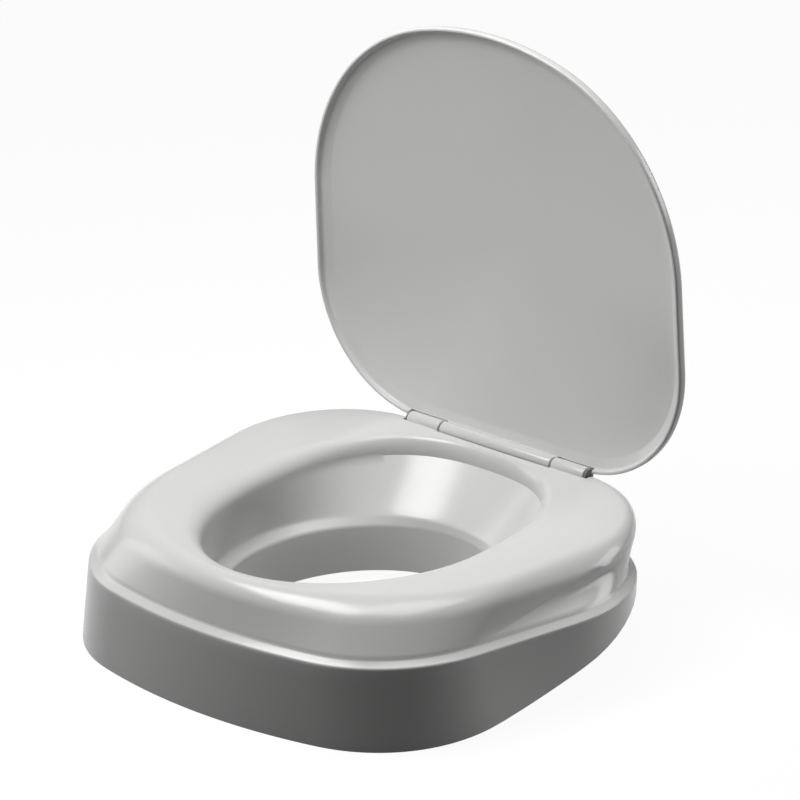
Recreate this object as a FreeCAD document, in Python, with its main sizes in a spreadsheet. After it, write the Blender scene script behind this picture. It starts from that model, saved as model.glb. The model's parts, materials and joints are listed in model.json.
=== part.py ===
import FreeCAD, Part
import Sketcher
import math
import os

# Raised toilet seat with a hinged lid. Millimetres, +Z up, the front of the seat towards -Y.
# The origin is on the surface the seat stands on, in the middle of the seat's width and depth.

SIZES = [
    # Skirt and ledge: the lower casing that hides the rim of the bowl.
    ("body_half_width", 195.0),
    ("ledge_front_taper", 18.0),
    ("ledge_front", 161.0),
    ("ledge_rear", 130.0),
    ("ledge_rear_radius", 98.0),
    ("ledge_corner_radius", 106.0),
    ("ledge_front_radius", 445.0),
    ("ledge_height", 58.0),
    ("ledge_step", 7.0),
    ("hem_rear_inset", 5.0),
    ("hem_front_flare", 6.0),
    ("hem_flat_length", 22.0),
    ("hem_rear_rise", 54.0),
    ("wall", 3.0),
    # Seat top.
    ("deck_height", 92.0),
    ("deck_side_inset", 29.0),
    ("deck_front_taper", 7.0),
    ("deck_front_inset", 19.0),
    ("deck_rear_overhang", 20.0),
    ("deck_rear_radius", 88.0),
    ("deck_corner_radius", 115.0),
    ("deck_front_radius", 190.0),
    ("deck_edge_radius", 14.0),
    ("deck_thickness", 3.5),
    # Opening, funnel and splash collar.
    ("opening_half_width", 102.0),
    ("opening_front", 117.0),
    ("opening_rear", 125.0),
    ("opening_roll", 10.0),
    ("opening_rear_roll", 6.0),
    ("ring_height", 46.0),
    ("ring_drop", 6.0),
    ("ring_width", 9.0),
    ("ring_side_inset", 1.0),
    ("ring_front_inset", 11.0),
    ("ring_rear_inset", 32.0),
    ("collar_draft", 3.0),
    ("collar_front_inset", 4.0),
    ("collar_rear_inset", 2.0),
    # Ribs and feet that stand on the bowl.
    ("rest_height", 20.0),
    ("rest_side_inset", 57.0),
    ("rest_front_y", -62.0),
    ("rest_rear_y", 56.0),
    ("rib_thickness", 5.0),
    ("foot_length", 46.0),
    ("foot_width", 22.0),
    ("foot_thickness", 3.0),
    ("pad_thickness", 4.0),
    ("pad_margin", 2.0),
    ("pad_stem_radius", 3.0),
    ("pad_stem_clearance", 0.3),
    # Lid and hinge.
    ("lid_side_overhang", 9.0),
    ("lid_front_overhang", 23.6),
    ("lid_front_taper", 1.0),
    ("lid_rear_radius", 95.0),
    ("lid_corner_radius", 147.0),
    ("lid_front_radius", 232.0),
    ("lid_depth", 26.0),
    ("lid_crown_radius", 900.0),
    ("lid_edge_radius", 7.0),
    ("lid_wall", 3.0),
    ("lid_gap", 0.5),
    ("hinge_inset", 9.3),
    ("hinge_rise", 0.3),
    ("knuckle_radius", 5.5),
    ("knuckle_half_length", 52.0),
    ("lug_gap", 1.5),
    ("lug_length", 30.0),
    ("hinge_clearance", 1.0),
    ("pin_radius", 3.0),
    ("pin_clearance", 0.05),
    ("pin_reach", 16.0),
    ("pin_head_radius", 4.5),
    ("pin_head_length", 2.0),
    # Sliding brackets under the deck that grip the inside of the bowl.
    ("bracket_gap", 3.0),
    ("bracket_travel", 14.0),
    ("bracket_width", 26.0),
    ("bracket_length", 56.0),
    ("bracket_thickness", 3.0),
    ("bracket_plate_height", 54.0),
    ("bracket_leg_thickness", 4.0),
    ("bracket_foot_height", 5.0),
    ("bracket_pad_thickness", 4.0),
    ("bracket_pad_height", 24.0),
    ("bracket_clearance", 0.3),
    ("rail_thickness", 3.0),
    ("rail_lip", 4.0),
    ("rail_lip_gap", 1.0),
    ("boss_width", 18.0),
    ("screw_offset", 33.0),
    ("screw_radius", 3.0),
    ("screw_length", 38.0),
    ("screw_clearance", 0.3),
    ("nut_width", 10.0),
    ("nut_thickness", 5.0),
    ("nut_clearance", 0.3),
    ("nut_seat", 6.0),
    ("thread_clearance", 0.05),
    ("washer_radius", 8.0),
    ("washer_thickness", 1.5),
    ("knob_radius", 15.0),
    ("knob_height", 14.0),
    ("knob_floor", 3.0),
    ("knob_hub_radius", 8.5),
    ("knob_hub_height", 3.5),
    ("knob_groove_radius", 3.0),
    ("knob_groove_offset", 1.0),
    ("knob_groove_count", 8.0),
]

# How far a cutting tool runs past the face that it cuts.
OVERRUN = 1.0

doc = FreeCAD.newDocument("raised_toilet_seat")
sheet = doc.addObject("Spreadsheet::Sheet", "Sizes")
for row, (alias, value) in enumerate(SIZES, 1):
    sheet.set(f"A{row}", alias)
    sheet.set(f"B{row}", str(value))
    sheet.setAlias(f"B{row}", alias)
doc.recompute()


def size(alias):
    return float(getattr(sheet, alias))


def vector(x, y, z):
    return FreeCAD.Vector(x, y, z)


nodes = []


def keep(feature, label):
    feature.Label = label
    nodes.append(feature)
    return feature


# ---------------------------------------------------------------------------------------------
# Outlines. Every outline is a rounded D: a straight rear edge, two rear corners, two straight
# sides, two front corners and a bowed front, all tangent to each other.


class Outline:
    def __init__(self, half_rear, half_front, rear, front, rear_radius, corner_radius, front_radius):
        self.values = (half_rear, half_front, rear, front, rear_radius, corner_radius, front_radius)

    def inset(self, distance):
        signs = (-1, -1, -1, 1, -1, -1, -1)
        return Outline(*(v + s * distance for v, s in zip(self.values, signs)))

    def towards(self, other, share):
        return Outline(*(a + share * (b - a) for a, b in zip(self.values, other.values)))

    def wire(self, z):
        half_rear, half_front, rear, front, rear_radius, corner_radius, front_radius = self.values
        rear_centre = vector(half_rear - rear_radius, rear - rear_radius, z)
        front_centre = vector(0, front + front_radius, z)
        corner_x = half_front - corner_radius
        corner_y = front_centre.y - math.sqrt((front_radius - corner_radius) ** 2 - corner_x**2)
        corner_centre = vector(corner_x, corner_y, z)
        along = rear_centre - corner_centre
        turn = math.acos((corner_radius - rear_radius) / along.Length)
        side_angle = math.atan2(along.y, along.x) - turn
        out = corner_centre - front_centre
        front_angle = math.atan2(out.y, out.x)

        def on(centre, radius, angle):
            return centre + vector(math.cos(angle), math.sin(angle), 0) * radius

        rear_end = on(rear_centre, rear_radius, math.pi / 2)
        rear_mid = on(rear_centre, rear_radius, (math.pi / 2 + side_angle) / 2)
        side_rear = on(rear_centre, rear_radius, side_angle)
        side_front = on(corner_centre, corner_radius, side_angle)
        corner_mid = on(corner_centre, corner_radius, (side_angle + front_angle) / 2)
        corner_end = on(corner_centre, corner_radius, front_angle)
        nose = vector(0, front, z)

        def mirrored(point):
            return vector(-point.x, point.y, point.z)

        edges = [
            Part.makeLine(mirrored(rear_end), rear_end),
            Part.Arc(rear_end, rear_mid, side_rear).toShape(),
            Part.makeLine(side_rear, side_front),
            Part.Arc(side_front, corner_mid, corner_end).toShape(),
            Part.Arc(corner_end, nose, mirrored(corner_end)).toShape(),
            Part.Arc(mirrored(corner_end), mirrored(corner_mid), mirrored(side_front)).toShape(),
            Part.makeLine(mirrored(side_front), mirrored(side_rear)),
            Part.Arc(mirrored(side_rear), mirrored(rear_mid), mirrored(rear_end)).toShape(),
        ]
        return Part.Wire(edges)


def oval(half_width, front, rear, z):
    half_depth = (rear - front) / 2
    centre = vector(0, (front + rear) / 2, z)
    if half_depth >= half_width:
        curve = Part.Ellipse(centre + vector(0, half_depth, 0), centre + vector(half_width, 0, 0), centre)
    else:
        curve = Part.Ellipse(centre + vector(half_width, 0, 0), centre + vector(0, half_depth, 0), centre)
    return Part.Wire([curve.toShape()])


def stack(wires):
    return Part.makeLoft(wires, True, True)


def box(x0, x1, y0, y1, z0, z1):
    low = vector(min(x0, x1), min(y0, y1), min(z0, z1))
    return Part.makeBox(abs(x1 - x0), abs(y1 - y0), abs(z1 - z0), low)


def rod(radius, start, end):
    return Part.makeCylinder(radius, (end - start).Length, start, end - start)


# ---------------------------------------------------------------------------------------------
# Places that several pieces share.

wall = size("wall")
deck_height = size("deck_height")
deck_under = deck_height - size("deck_thickness")
ledge_height = size("ledge_height")
ledge_rear = size("ledge_rear")
deck_rear = ledge_rear + size("deck_rear_overhang")
deck_half = size("body_half_width") - size("deck_side_inset")
deck_front = -size("ledge_front") + size("deck_front_inset")
hinge_y = deck_rear - size("hinge_inset")
hinge_z = deck_height - size("hinge_rise")
knuckle_end = size("knuckle_half_length")
lug_start = knuckle_end + size("lug_gap")
lug_end = lug_start + size("lug_length")
head_pocket_end = lug_end + size("pin_head_length") + size("lug_gap")

ledge = Outline(
    size("body_half_width"),
    size("body_half_width") - size("ledge_front_taper"),
    ledge_rear,
    -size("ledge_front"),
    size("ledge_rear_radius"),
    size("ledge_corner_radius"),
    size("ledge_front_radius"),
)
hem = Outline(
    size("body_half_width") - size("hem_rear_inset"),
    size("body_half_width") - size("ledge_front_taper") + size("hem_front_flare"),
    ledge_rear,
    -size("ledge_front") - size("hem_front_flare"),
    size("ledge_rear_radius"),
    size("ledge_corner_radius"),
    size("ledge_front_radius"),
)
shoulder = ledge.inset(size("ledge_step"))
deck = Outline(
    deck_half,
    deck_half - size("deck_front_taper"),
    deck_rear,
    deck_front,
    size("deck_rear_radius"),
    size("deck_corner_radius"),
    size("deck_front_radius"),
)

screw_x = size("opening_half_width") + wall + size("bracket_gap") + size("screw_offset")
rest_x = size("body_half_width") - size("rest_side_inset")
rest_pads = {
    "front_right": (rest_x, size("rest_front_y")),
    "front_left": (-rest_x, size("rest_front_y")),
    "rear_right": (rest_x, size("rest_rear_y")),
    "rear_left": (-rest_x, size("rest_rear_y")),
}
foot_top = size("rest_height") + size("pad_thickness") + size("foot_thickness")
plate_low = size("bracket_plate_height")
plate_high = plate_low + size("bracket_thickness")
boss_low = plate_high + size("bracket_clearance")
nut_low = boss_low + size("nut_seat")
washer_low = plate_low - size("washer_thickness")


# ---------------------------------------------------------------------------------------------
# Seat shell: one moulding. A skirt, a stepped ledge, slanting walls, the deck you sit on, and a
# funnel that ends in a splash collar. Hinge lugs, ribs, feet, rails and nut bosses are part of it.


def upper_sections(extra, top_z, roll, steps, base_z):
    """Sections of the slanting wall from base_z, closed over by a rounded edge at top_z."""
    span = deck_height - ledge_height

    def at(z):
        return shoulder.towards(deck, (z - ledge_height) / span).inset(extra)

    wires = [at(base_z).wire(base_z)]
    for step in range(steps + 1):
        angle = math.pi / 2 * step / steps
        z = top_z - roll * (1 - math.sin(angle))
        wires.append(at(z).inset(roll * (1 - math.cos(angle))).wire(z))
    return wires


def funnel_solid(extra):
    """The space inside the funnel and collar, grown by extra."""
    half = size("opening_half_width")
    front = -size("opening_front")
    rear = size("opening_rear")
    ring_half = half - size("ring_side_inset")
    ring_front = front + size("ring_front_inset")
    ring_rear = rear - size("ring_rear_inset")
    ring_low = size("ring_height") - size("ring_drop")
    ring_width = size("ring_width")
    draft = size("collar_draft")
    collar_half = ring_half - ring_width
    collar_front = ring_front + size("collar_front_inset")
    collar_rear = ring_rear - size("collar_rear_inset")
    lip_z = deck_height - size("opening_roll")
    sections = [
        (collar_half - draft, collar_front + draft, collar_rear - draft, 0),
        (collar_half, collar_front, collar_rear, ring_low),
        (ring_half, ring_front, ring_rear, size("ring_height")),
        (half, front, rear, lip_z),
    ]
    for angle in (math.pi / 6, math.pi / 3, math.pi / 2):
        out = size("opening_roll") * (1 - math.cos(angle))
        rear_out = size("opening_rear_roll") * (1 - math.cos(angle))
        z = lip_z + size("opening_roll") * math.sin(angle)
        sections.append((half + out, front - out, rear + rear_out, z))
    wires = [oval(a + extra, f - extra, r + extra, z) for a, f, r, z in sections]
    return stack(wires)


def make_shell():
    skirt = stack([hem.wire(0), ledge.wire(ledge_height)])
    roll = size("deck_edge_radius")
    upper = stack(upper_sections(0, deck_height, roll, 5, ledge_height))
    outer = skirt.fuse(upper)

    share = (ledge_height - wall) / ledge_height
    skirt_hollow = stack([
        hem.inset(wall).wire(0),
        hem.towards(ledge, share).inset(wall).wire(ledge_height - wall),
    ])
    inner_roll = roll - size("deck_thickness")
    upper_hollow = stack(upper_sections(wall, deck_under, inner_roll, 3, ledge_height - wall))
    casing = outer.cut(skirt_hollow.fuse(upper_hollow))

    # The hem is flat along the front, then sweeps up towards the rear in one arc.
    start = hem.values[3] + size("hem_flat_length")
    length = ledge_rear - start
    rise = size("hem_rear_rise")
    sweep = (length**2 + rise**2) / (2 * rise)
    reach = 2 * size("body_half_width")
    middle = math.asin(length / sweep) / 2
    under = [
        vector(-reach, start, 0),
        vector(-reach, start + sweep * math.sin(middle), sweep * (1 - math.cos(middle))),
        vector(-reach, ledge_rear, rise),
        vector(-reach, ledge_rear + reach, rise),
        vector(-reach, ledge_rear + reach, 0),
    ]
    profile = Part.Wire([
        Part.Arc(under[0], under[1], under[2]).toShape(),
        Part.makeLine(under[2], under[3]),
        Part.makeLine(under[3], under[4]),
        Part.makeLine(under[4], under[0]),
    ])
    casing = casing.cut(Part.Face(profile).extrude(vector(2 * reach, 0, 0)))

    # Hinge lugs, and the block under them that closes the notch for the lid's knuckle.
    knuckle = size("knuckle_radius")
    notch_front = hinge_y - knuckle - size("hinge_clearance")
    notch_low = hinge_z - knuckle - size("hinge_clearance")
    solids = [funnel_solid(wall)]
    web_half = head_pocket_end + wall
    web = box(-web_half, web_half, notch_front - wall, deck_rear, notch_low - wall, deck_height)
    lugs = []
    for side in (-1, 1):
        inner = vector(side * lug_start, hinge_y, hinge_z)
        outer_end = vector(side * lug_end, hinge_y, hinge_z)
        lugs.append(rod(knuckle, inner, outer_end))

    # Radial ribs with a flat foot on each, standing on the rim of the bowl.
    ribs = []
    for x, y in rest_pads.values():
        side = 1 if x > 0 else -1
        half_rib = size("rib_thickness") / 2
        low = foot_top - size("foot_thickness")
        end = x + side * (size("foot_length") / 2)
        root_x = side * (size("opening_half_width") - size("ring_width") - wall)
        ribs.append(box(root_x, end, y - half_rib, y + half_rib, low, deck_height))
        ribs.append(box(
            x - size("foot_length") / 2, x + size("foot_length") / 2,
            y - size("foot_width") / 2, y + size("foot_width") / 2, low, foot_top,
        ))

    # Rails that carry the sliding brackets, and a boss over each for the nut.
    rails = []
    half_width = size("bracket_width") / 2 + size("bracket_clearance")
    lip_low = plate_low - size("bracket_clearance") - size("rail_thickness")
    rail_start = size("opening_half_width") + wall
    rail_end = rail_start + size("bracket_gap") + size("bracket_length")
    leg_reach = size("bracket_gap") + size("bracket_leg_thickness") + size("bracket_travel")
    lip_start = rail_start + leg_reach + size("rail_lip_gap")
    for side in (-1, 1):
        for edge in (-1, 1):
            rails.append(box(
                side * (rail_start - wall), side * rail_end,
                edge * half_width, edge * (half_width + size("rail_thickness")), lip_low, deck_height,
            ))
            rails.append(box(
                side * lip_start, side * rail_end,
                edge * (half_width - size("rail_lip")), edge * half_width,
                lip_low, lip_low + size("rail_thickness"),
            ))
        half_boss = size("boss_width") / 2
        rails.append(box(
            side * screw_x - half_boss, side * screw_x + half_boss,
            -half_width, half_width, boss_low, deck_height,
        ))

    for piece in ribs + rails + [web]:
        solids.append(piece.common(outer))
    shell = casing.multiFuse(solids)
    shell = shell.multiFuse(lugs)

    cuts = [funnel_solid(0)]
    cuts.append(box(
        -lug_start, lug_start, notch_front, deck_rear + OVERRUN, notch_low, deck_height + knuckle + OVERRUN,
    ))
    for side in (-1, 1):
        bore_start = vector(side * (lug_start - OVERRUN), hinge_y, hinge_z)
        bore_end = vector(side * (lug_end + OVERRUN), hinge_y, hinge_z)
        cuts.append(rod(size("pin_radius") + size("pin_clearance"), bore_start, bore_end))
        pocket_start = vector(side * lug_end, hinge_y, hinge_z)
        pocket_end = vector(side * head_pocket_end, hinge_y, hinge_z)
        cuts.append(rod(size("pin_head_radius") + size("lug_gap") / 2, pocket_start, pocket_end))
        axis_x = side * screw_x
        hole = size("screw_radius") + size("screw_clearance")
        cuts.append(rod(hole, vector(axis_x, 0, boss_low - OVERRUN), vector(axis_x, 0, deck_under - OVERRUN)))
        half_nut = size("nut_width") / 2 + size("nut_clearance")
        cuts.append(box(
            axis_x - half_nut, axis_x + half_nut, -half_nut, half_width + size("rail_thickness") + OVERRUN,
            nut_low, nut_low + size("nut_thickness") + size("nut_clearance"),
        ))
    stem_hole = size("pad_stem_radius") + size("pad_stem_clearance")
    for x, y in rest_pads.values():
        for along in (-1, 1):
            stem_x = x + along * size("foot_length") / 4
            stem_y = y + size("foot_width") / 4
            below = vector(stem_x, stem_y, foot_top - size("foot_thickness") - OVERRUN)
            cuts.append(rod(stem_hole, below, vector(stem_x, stem_y, foot_top + OVERRUN)))
    for cut in cuts:
        shell = shell.cut(cut)
    return shell.removeSplitter()


shell = doc.addObject("Part::Feature", "SeatShell")
shell.Shape = make_shell()
keep(shell, "seat_shell")


# ---------------------------------------------------------------------------------------------
# Lid: a shallow crowned dish with a deep rim. It is drawn lying shut over the deck and then
# swung up about the hinge, because it stands open at rest. The knuckle along its lower edge
# runs between the two lugs.

lid_plan = Outline(
    deck_half + size("lid_side_overhang"),
    deck_half + size("lid_side_overhang") - size("lid_front_taper"),
    hinge_y - size("hinge_rise") - size("lid_gap"),
    deck_front - size("lid_front_overhang"),
    size("lid_rear_radius"),
    size("lid_corner_radius"),
    size("lid_front_radius"),
)


def dish(outline, low, high, edge_radius):
    """A solid over the outline from low to the crown at high, with its upper edge rounded."""
    prism = Part.Face(outline.wire(low)).extrude(vector(0, 0, high - low + OVERRUN))
    middle = (outline.values[2] + outline.values[3]) / 2
    crown = size("lid_crown_radius")
    ball = Part.makeSphere(crown, vector(0, middle, high - crown))
    solid = prism.common(ball)
    top = [face for face in solid.Faces if isinstance(face.Surface, Part.Sphere)]
    return solid.makeFillet(edge_radius, top[0].Edges)


def make_lid():
    rim = deck_height + size("lid_gap")
    crown = rim + size("lid_depth")
    thickness = size("lid_wall")
    outer = dish(lid_plan, rim, crown, size("lid_edge_radius"))
    inner_edge = size("lid_edge_radius") - thickness
    inner = dish(lid_plan.inset(thickness), rim - OVERRUN, crown - thickness, inner_edge)
    solid = outer.cut(inner)
    left = vector(-knuckle_end, hinge_y, hinge_z)
    right = vector(knuckle_end, hinge_y, hinge_z)
    solid = solid.fuse(rod(size("knuckle_radius"), left, right))
    reach = size("pin_reach")
    for side in (-1, 1):
        start = vector(side * knuckle_end, hinge_y, hinge_z)
        end = vector(side * head_pocket_end, hinge_y, hinge_z)
        solid = solid.cut(rod(size("knuckle_radius") + size("hinge_clearance"), start, end))
        deep = vector(side * (knuckle_end - reach - OVERRUN), hinge_y, hinge_z)
        out = vector(side * (knuckle_end + OVERRUN), hinge_y, hinge_z)
        solid = solid.cut(rod(size("pin_radius") + size("pin_clearance"), deep, out))
    solid.rotate(vector(0, hinge_y, hinge_z), vector(1, 0, 0), -90)
    return solid


lid = doc.addObject("Part::Feature", "Lid")
lid.Shape = make_lid()
keep(lid, "lid")


# ---------------------------------------------------------------------------------------------
# Small pieces, bound to the sheet.


def bound(kind, name, **sizes):
    feature = doc.addObject(kind, name)
    for key, expression in sizes.items():
        feature.setExpression(key, expression)
    return feature


def cylinder(name, radius, height):
    return bound("Part::Cylinder", name, Radius=radius, Height=height)


def joined(kind, name, base, tool):
    feature = doc.addObject(kind, name)
    feature.Base = base
    feature.Tool = tool
    return feature


def place(feature, x, y, z, turn=None):
    feature.Placement = FreeCAD.Placement(vector(x, y, z), turn or FreeCAD.Rotation())
    return feature


SIDES = {"left": -1, "right": 1}


def outward(side):
    """Turns a piece drawn for the right-hand side to face outwards on either side."""
    return FreeCAD.Rotation(vector(0, 0, 1), 0 if side > 0 else 180)


# Hinge pins: a headed pin pressed through each lug into the end of the lid's knuckle.
for word, side in SIDES.items():
    shaft = cylinder(
        f"PinShaft_{word}", "Sizes.pin_radius", "Sizes.pin_reach + Sizes.lug_gap + Sizes.lug_length",
    )
    head = cylinder(f"PinHead_{word}", "Sizes.pin_head_radius", "Sizes.pin_head_length")
    head.setExpression("Placement.Base.z", "Sizes.pin_reach + Sizes.lug_gap + Sizes.lug_length")
    pin = joined("Part::Fuse", f"Pin_{word}", shaft, head)
    turn = FreeCAD.Rotation(vector(0, 1, 0), 90 * side)
    place(pin, side * (knuckle_end - size("pin_reach")), hinge_y, hinge_z, turn)
    keep(pin, f"hinge_pin_{word}")


# Rest pads: rubber blocks with two stems that push up into the holes of each foot.
for word, (x, y) in rest_pads.items():
    block = bound(
        "Part::Box", f"PadBlock_{word}",
        Length="Sizes.foot_length - 2 * Sizes.pad_margin",
        Width="Sizes.foot_width - 2 * Sizes.pad_margin",
        Height="Sizes.pad_thickness",
    )
    block.setExpression("Placement.Base.x", "Sizes.pad_margin - Sizes.foot_length / 2")
    block.setExpression("Placement.Base.y", "Sizes.pad_margin - Sizes.foot_width / 2")
    pad = block
    for end, sign in (("a", "-"), ("b", "")):
        stem = cylinder(
            f"PadStem_{word}_{end}", "Sizes.pad_stem_radius", "Sizes.pad_thickness + Sizes.foot_thickness",
        )
        stem.setExpression("Placement.Base.x", f"{sign}Sizes.foot_length / 4")
        stem.setExpression("Placement.Base.y", "Sizes.foot_width / 4")
        pad = joined("Part::Fuse", f"Pad_{word}_{end}", pad, stem)
    place(pad, x, y, size("rest_height"))
    keep(pad, f"rest_pad_{word}")


def sketch_on(body, name, plane):
    sketch = body.newObject("Sketcher::SketchObject", name)
    origin = next(o for o in body.Origin.OriginFeatures if o.Role == plane)
    sketch.AttachmentSupport = (origin, "")
    sketch.MapMode = "FlatFace"
    return sketch


def add_polygon(sketch, points, names):
    """A closed polygon whose corners are held by the expressions given for them, or on an axis by none."""
    count = len(points)
    for i in range(count):
        start = vector(*points[i], 0)
        end = vector(*points[(i + 1) % count], 0)
        sketch.addGeometry(Part.LineSegment(start, end))
    for i in range(count):
        sketch.addConstraint(Sketcher.Constraint("Coincident", i, 2, (i + 1) % count, 1))
    for i, (point, (x_name, y_name)) in enumerate(zip(points, names)):
        for kind, value, expression in (("DistanceX", point[0], x_name), ("DistanceY", point[1], y_name)):
            index = sketch.addConstraint(Sketcher.Constraint(kind, -1, 1, i, 1, value))
            if expression is not None:
                sketch.setExpression(f"Constraints[{index}]", expression)


def add_circle(sketch, x, y, radius, expressions):
    sketch.addGeometry(Part.Circle(vector(x, y, 0), vector(0, 0, 1), radius))
    geometry = sketch.GeometryCount - 1
    for kind, value, expression in zip(("DistanceX", "DistanceY"), (x, y), expressions[:2]):
        if expression is None:
            continue
        index = sketch.addConstraint(Sketcher.Constraint(kind, -1, 1, geometry, 3, value))
        sketch.setExpression(f"Constraints[{index}]", expression)
    index = sketch.addConstraint(Sketcher.Constraint("Radius", geometry, radius))
    sketch.setExpression(f"Constraints[{index}]", expressions[2])


# Brackets: an L-shaped arm that slides outwards in the rails. Its slot runs past the screw.
arm_x = size("opening_half_width") + wall + size("bracket_gap")
for word, side in SIDES.items():
    body = doc.addObject("PartDesign::Body", f"Bracket_{word}")
    outline = sketch_on(body, f"BracketProfile_{word}", "XZ_Plane")
    leg = size("bracket_leg_thickness")
    length = size("bracket_length")
    drop = plate_low - size("bracket_foot_height")
    top = drop + size("bracket_thickness")
    add_polygon(
        outline,
        [(0, 0), (leg, 0), (leg, drop), (length, drop), (length, top), (0, top)],
        [
            (None, None),
            ("Sizes.bracket_leg_thickness", None),
            ("Sizes.bracket_leg_thickness", "Sizes.bracket_plate_height - Sizes.bracket_foot_height"),
            ("Sizes.bracket_length", "Sizes.bracket_plate_height - Sizes.bracket_foot_height"),
            (
                "Sizes.bracket_length",
                "Sizes.bracket_plate_height - Sizes.bracket_foot_height + Sizes.bracket_thickness",
            ),
            (
                None,
                "Sizes.bracket_plate_height - Sizes.bracket_foot_height + Sizes.bracket_thickness",
            ),
        ],
    )
    pad = body.newObject("PartDesign::Pad", f"BracketPad_{word}")
    pad.Profile = outline
    pad.SideType = "Symmetric"
    pad.setExpression("Length", "Sizes.bracket_width")
    doc.recompute()
    solid_volume = body.Shape.Volume
    slot_sketch = sketch_on(body, f"BracketSlot_{word}", "XY_Plane")
    slot_half = size("screw_radius") + size("screw_clearance")
    slot_start = size("screw_offset") - size("bracket_travel") - slot_half
    slot_end = size("screw_offset") + slot_half
    start_name = (
        "Sizes.screw_offset - Sizes.bracket_travel - Sizes.screw_radius - Sizes.screw_clearance"
    )
    end_name = "Sizes.screw_offset + Sizes.screw_radius + Sizes.screw_clearance"
    half_name = "Sizes.screw_radius + Sizes.screw_clearance"
    add_polygon(
        slot_sketch,
        [(slot_start, -slot_half), (slot_end, -slot_half), (slot_end, slot_half), (slot_start, slot_half)],
        [
            (start_name, f"-({half_name})"),
            (end_name, f"-({half_name})"),
            (end_name, half_name),
            (start_name, half_name),
        ],
    )
    slot = body.newObject("PartDesign::Pocket", f"BracketSlotCut_{word}")
    slot.Profile = slot_sketch
    slot.Type = "ThroughAll"
    slot.SideType = "Symmetric"
    doc.recompute()
    if body.Shape.Volume >= solid_volume:
        raise RuntimeError("the slot cut nothing")
    place(body, side * arm_x, 0, size("bracket_foot_height"), outward(side))
    keep(body, f"bracket_{word}")


# Bracket pads: rubber blocks bonded to the outer face of each leg.
for word, side in SIDES.items():
    pad = bound(
        "Part::Box", f"GripBlock_{word}",
        Length="Sizes.bracket_pad_thickness",
        Width="Sizes.bracket_width - 2 * Sizes.pad_margin",
        Height="Sizes.bracket_pad_height",
    )
    face_x = arm_x + size("bracket_leg_thickness")
    half = size("bracket_width") / 2 - size("pad_margin")
    place(pad, side * face_x, -side * half, size("bracket_foot_height") + size("pad_margin"), outward(side))
    keep(pad, f"bracket_pad_{word}")


# Clamp screw, washer and nut. The screw is moulded into the knob and runs up into the nut.
screw_low = washer_low - size("knob_hub_height") - size("knob_height") + size("knob_floor")
for word, side in SIDES.items():
    screw = cylinder(f"Screw_{word}", "Sizes.screw_radius", "Sizes.screw_length")
    place(screw, side * screw_x, 0, screw_low)
    keep(screw, f"bracket_screw_{word}")

    disc = cylinder(f"WasherDisc_{word}", "Sizes.washer_radius", "Sizes.washer_thickness")
    hole = cylinder(
        f"WasherHole_{word}", "Sizes.screw_radius + Sizes.screw_clearance", "Sizes.washer_thickness",
    )
    washer = joined("Part::Cut", f"Washer_{word}", disc, hole)
    place(washer, side * screw_x, 0, washer_low)
    keep(washer, f"bracket_washer_{word}")

    block = bound(
        "Part::Box", f"NutBlock_{word}",
        Length="Sizes.nut_width", Width="Sizes.nut_width", Height="Sizes.nut_thickness",
    )
    block.setExpression("Placement.Base.x", "-Sizes.nut_width / 2")
    block.setExpression("Placement.Base.y", "-Sizes.nut_width / 2")
    thread = cylinder(
        f"NutThread_{word}", "Sizes.screw_radius + Sizes.thread_clearance", "Sizes.nut_thickness",
    )
    nut = joined("Part::Cut", f"Nut_{word}", block, thread)
    place(nut, side * screw_x, 0, nut_low)
    keep(nut, f"bracket_nut_{word}")


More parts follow.
